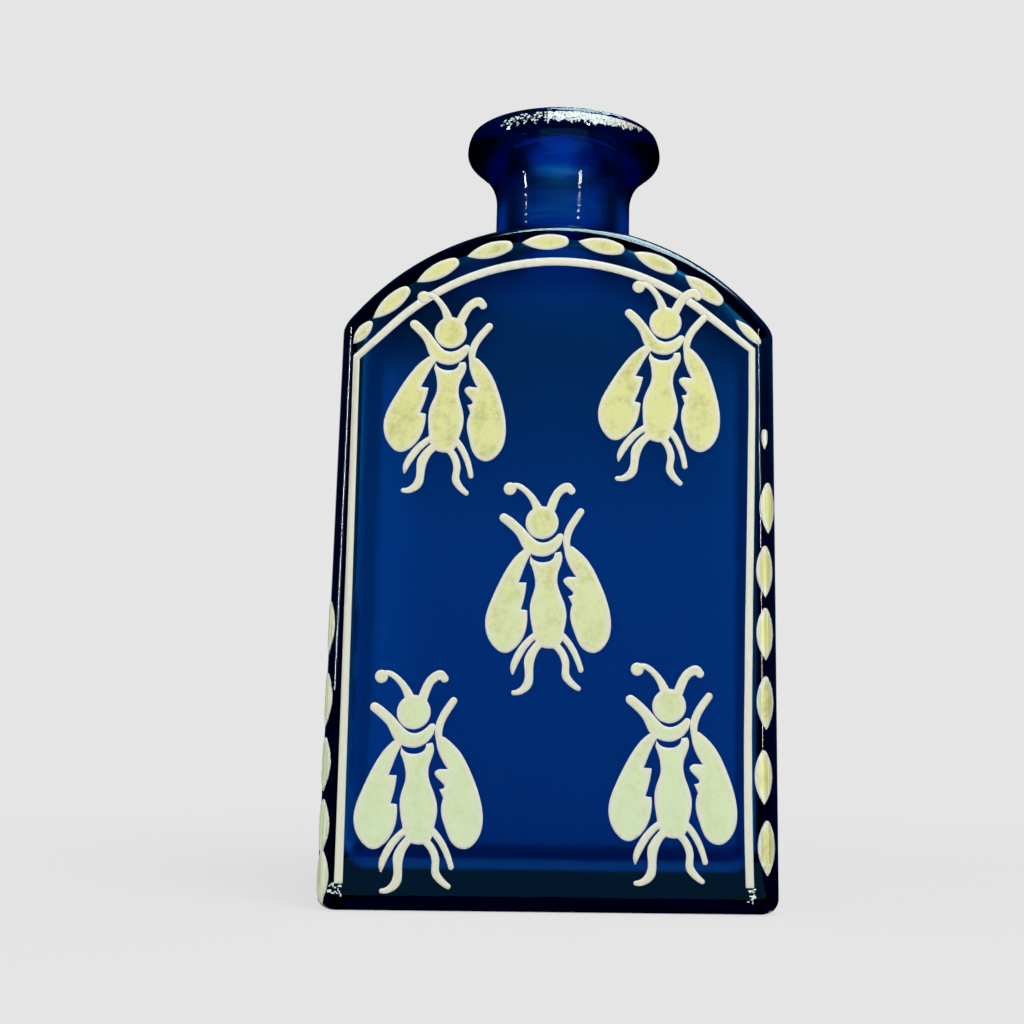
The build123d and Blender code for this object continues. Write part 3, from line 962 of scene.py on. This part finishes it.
blue_glow = glow_paper("blue_gel", "0050AB")
pale_glow = glow_paper("pale_gel", "30E0FF", 1.8)
mouth_glow = glow_paper("mouth_gel", "00C8FF", 1.2)
teal_glow = glow_paper("teal_gel", "307FAA")
print("gels", [gel.name for gel in (blue_glow, pale_glow, mouth_glow, teal_glow)])

# %% Set up the cards
facing, sideways = (90, 0, 0), (0, 90, 0)
on_floor = 0.0002
over_floor = 0.0004


def card(name, place, size, turn=(0, 0, 0), through_glass=False, glow=None):
    """A card that only reflections see, or only light through the glass; black unless it glows."""
    bpy.ops.object.select_all(action="DESELECT")
    bpy.ops.mesh.primitive_plane_add(size=1, location=place, rotation=[math.radians(a) for a in turn])
    sheet = bpy.context.object
    sheet.name = name
    sheet.scale = (*size, 1)
    sheet.data.materials.append(glow or velvet)
    other = "glossy" if through_glass else "transmission"
    for ray in ("camera", "diffuse", "volume_scatter", "shadow", other):
        setattr(sheet, "visible_" + ray, False)


card("front_card", (0, -1.3, 0.7), (2.8, 1.4), facing)
card("top_card", (0, -0.3, 1.4), (2.8, 2.2))
card("left_card", (-1.4, -0.3, 0.7), (1.4, 2.0), sideways)
card("right_card", (1.4, -0.3, 0.7), (1.4, 2.0), sideways)
card("rear_card", (0, 0.45, 0.7), (2.8, 1.4), facing)
card("front_floor_card", (0, -0.660, on_floor), (2.8, 1.280))
card("left_floor_card", (-0.721, 0.240, on_floor), (1.356, 0.520))
card("right_floor_card", (0.721, 0.240, on_floor), (1.356, 0.520))
card("rear_floor_card", (0, 0.265, on_floor), (0.086, 0.470))
card("left_edge_card", (-0.92, 0.46, 0.7), (1.20, 1.4), facing, through_glass=True)
card("right_edge_card", (0.90, 0.46, 0.7), (1.20, 1.4), facing, through_glass=True)
card("left_side_card", (-0.70, 0.05, 0.5), (1.0, 0.8), sideways, through_glass=True)
card("right_side_card", (0.70, 0.05, 0.5), (1.0, 0.8), sideways, through_glass=True)
card("rear_top_card", (0, 0.46, 0.92), (3.0, 1.0), facing, through_glass=True, glow=blue_glow)
card("neck_card", (-0.004, 0.035, 0.150), (0.050, 0.026), facing, through_glass=True, glow=pale_glow)
card("left_shoulder_card", (-0.062, 0.03, 0.152), (0.080, 0.16), through_glass=True)
card("crown_card", (0, -0.0235, 0.139), (0.10, 0.017), through_glass=True)
card("mouth_card", (-0.008, -0.005, 0.172), (0.022, 0.050), through_glass=True, glow=mouth_glow)
card("near_floor_card", (0, -0.085, over_floor), (0.12, 0.080), glow=teal_glow)

# %% [markdown]
# ## Lamps
# Each lamp does one job, so each is hidden from the kinds of rays that it isn't for. The overhead box
# lights the enamel and throws the shadow. The crown glint is seen only in reflections, as the pale line
# along the crown's edge. Two narrow strips give the long glints on the sides of the neck and the body.
# The neck glow is seen only through the glass, and the card over the crown keeps it to the neck.

# %% Light the bottle
def soft_box(name, place, aim, size, power, colour="FFFFFF", hidden_from=()):
    """A rectangular lamp at a place, turned to a point, that some kinds of rays may not see."""
    bpy.ops.object.select_all(action="DESELECT")
    bpy.ops.object.light_add(type="AREA", location=place)
    lamp = bpy.context.object
    lamp.name = name
    lamp.data.shape = "RECTANGLE"
    lamp.data.size, lamp.data.size_y = size
    lamp.data.energy = power
    lamp.data.color = linear(colour)[:3]
    for ray in hidden_from:
        setattr(lamp, "visible_" + ray, False)
    lamp.rotation_euler = (Vector(aim) - Vector(place)).to_track_quat("-Z", "Y").to_euler()
    print(name, power, "W")


soft_box("overhead_box", (0.165, -0.35, 0.75), (0, 0, 0.12), (0.37, 0.25), 4.0, hidden_from=["glossy"])
soft_box(
    "crown_glint", (0.14, -0.08, 0.75), (0, 0, 0.14), (0.60, 0.42), 8.0, colour="D0F4FF",
    hidden_from=["diffuse", "transmission"],
)
soft_box("right_strip", (0.33, -0.62, 0.18), (0, 0, 0.08), (0.05, 0.36), 1.0)
soft_box("left_strip", (-0.63, -0.30, 0.20), (0, 0, 0.08), (0.05, 0.30), 1.0)
soft_box(
    "neck_glow", (0, -0.05, 0.62), (0, 0, 0.15), (0.5, 0.6), 12.0, colour="95FFCB",
    hidden_from=["glossy", "diffuse"],
)
